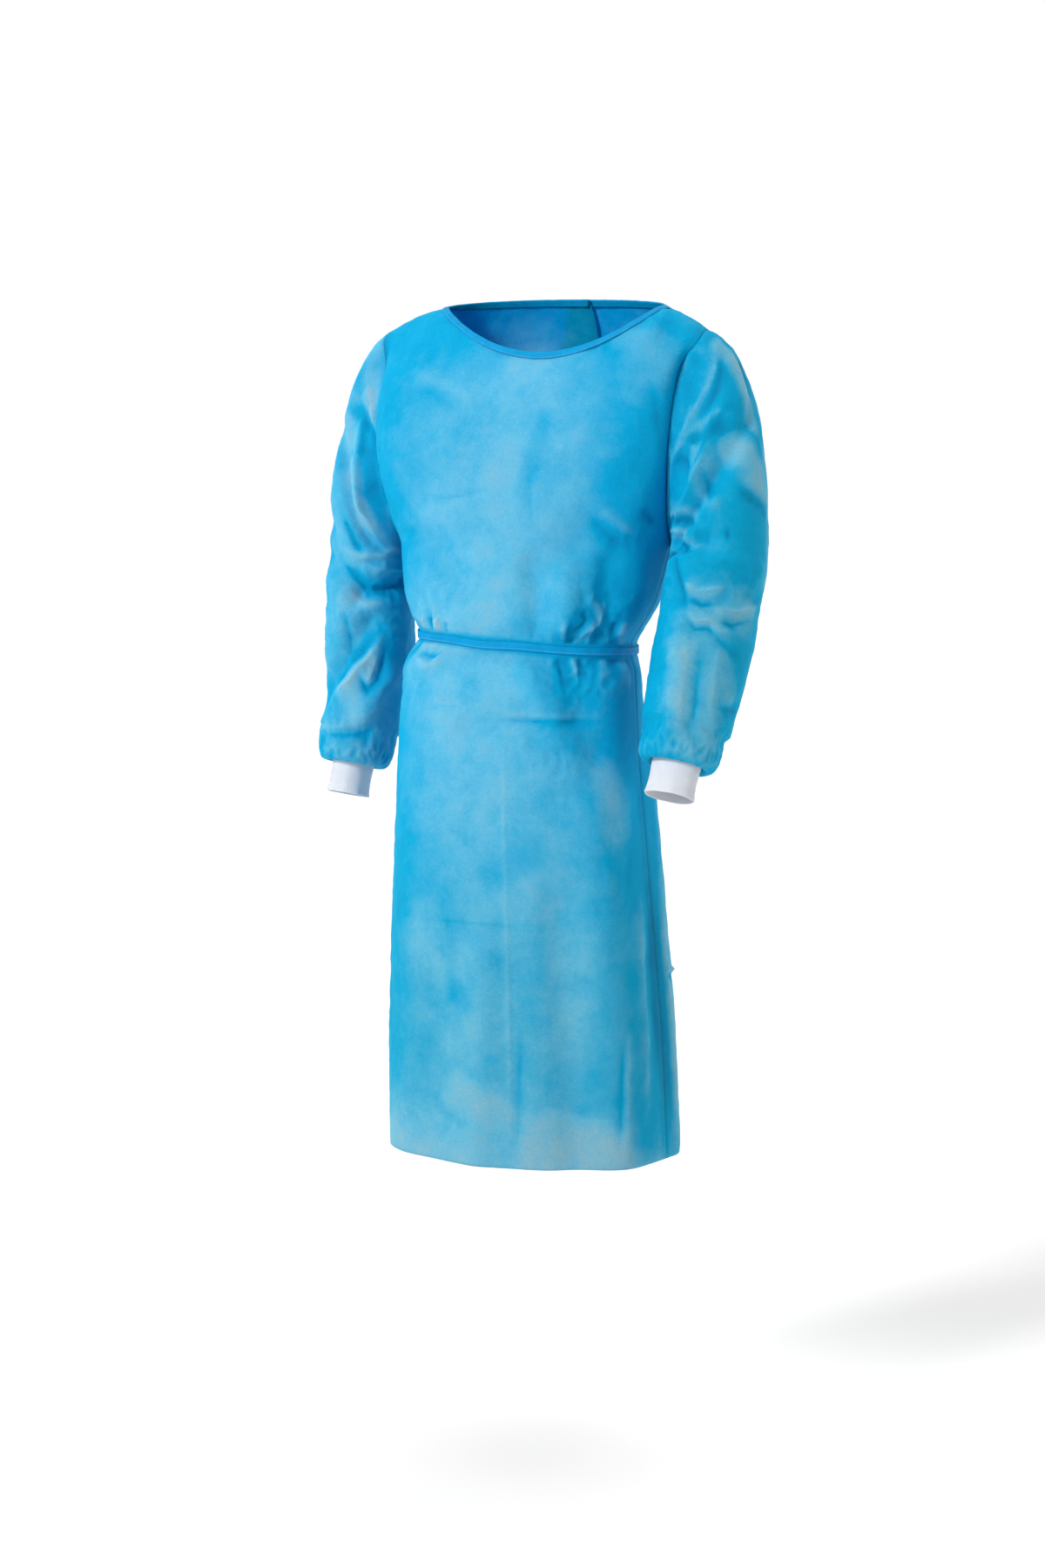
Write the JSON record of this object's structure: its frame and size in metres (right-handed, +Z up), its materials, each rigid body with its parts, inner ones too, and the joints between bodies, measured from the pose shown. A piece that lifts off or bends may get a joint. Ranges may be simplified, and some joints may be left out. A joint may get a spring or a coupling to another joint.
{
  "type": "isolation gown",
  "caption": "Long-sleeved knee-length isolation gown of thin nonwoven cloth with a wide neck, knit cuffs and a tie at the neck and waist, in the hollow form it keeps when worn.",
  "frame": {"origin": "between the shoulders, level with the two ends of the neckline, where the wearer's shoulders hold the gown up", "axes": "+Z up, the front faces -Y, the wearer's left is +X"},
  "size_m": [0.6355, 0.3212, 1.1064],
  "materials": {
    "front": "matt embossed nonwoven",
    "back_left": "matt embossed nonwoven",
    "back_right": "matt embossed nonwoven",
    "sleeve_left": "matt embossed nonwoven",
    "sleeve_right": "matt embossed nonwoven",
    "cuff_left": "fine knit",
    "cuff_right": "fine knit",
    "neck_binding": "folded nonwoven tape",
    "belt": "folded nonwoven tape",
    "belt_knot": "folded nonwoven tape",
    "belt_tail_left": "folded nonwoven tape",
    "belt_tail_right": "folded nonwoven tape",
    "neck_knot": "folded nonwoven tape",
    "neck_tail_left": "folded nonwoven tape",
    "neck_tail_right": "folded nonwoven tape"
  },
  "bodies": {
    "root": {"front": "front", "back_left": "back_left", "back_right": "back_right", "sleeve_left": "sleeve_left", "sleeve_right": "sleeve_right", "cuff_left": "cuff_left", "cuff_right": "cuff_right", "neck_binding": "neck_binding", "belt": "belt", "belt_knot": "belt_knot", "belt_tail_left": "belt_tail_left", "belt_tail_right": "belt_tail_right", "neck_knot": "neck_knot", "neck_tail_left": "neck_tail_left", "neck_tail_right": "neck_tail_right"}
  },
  "joints": []
}
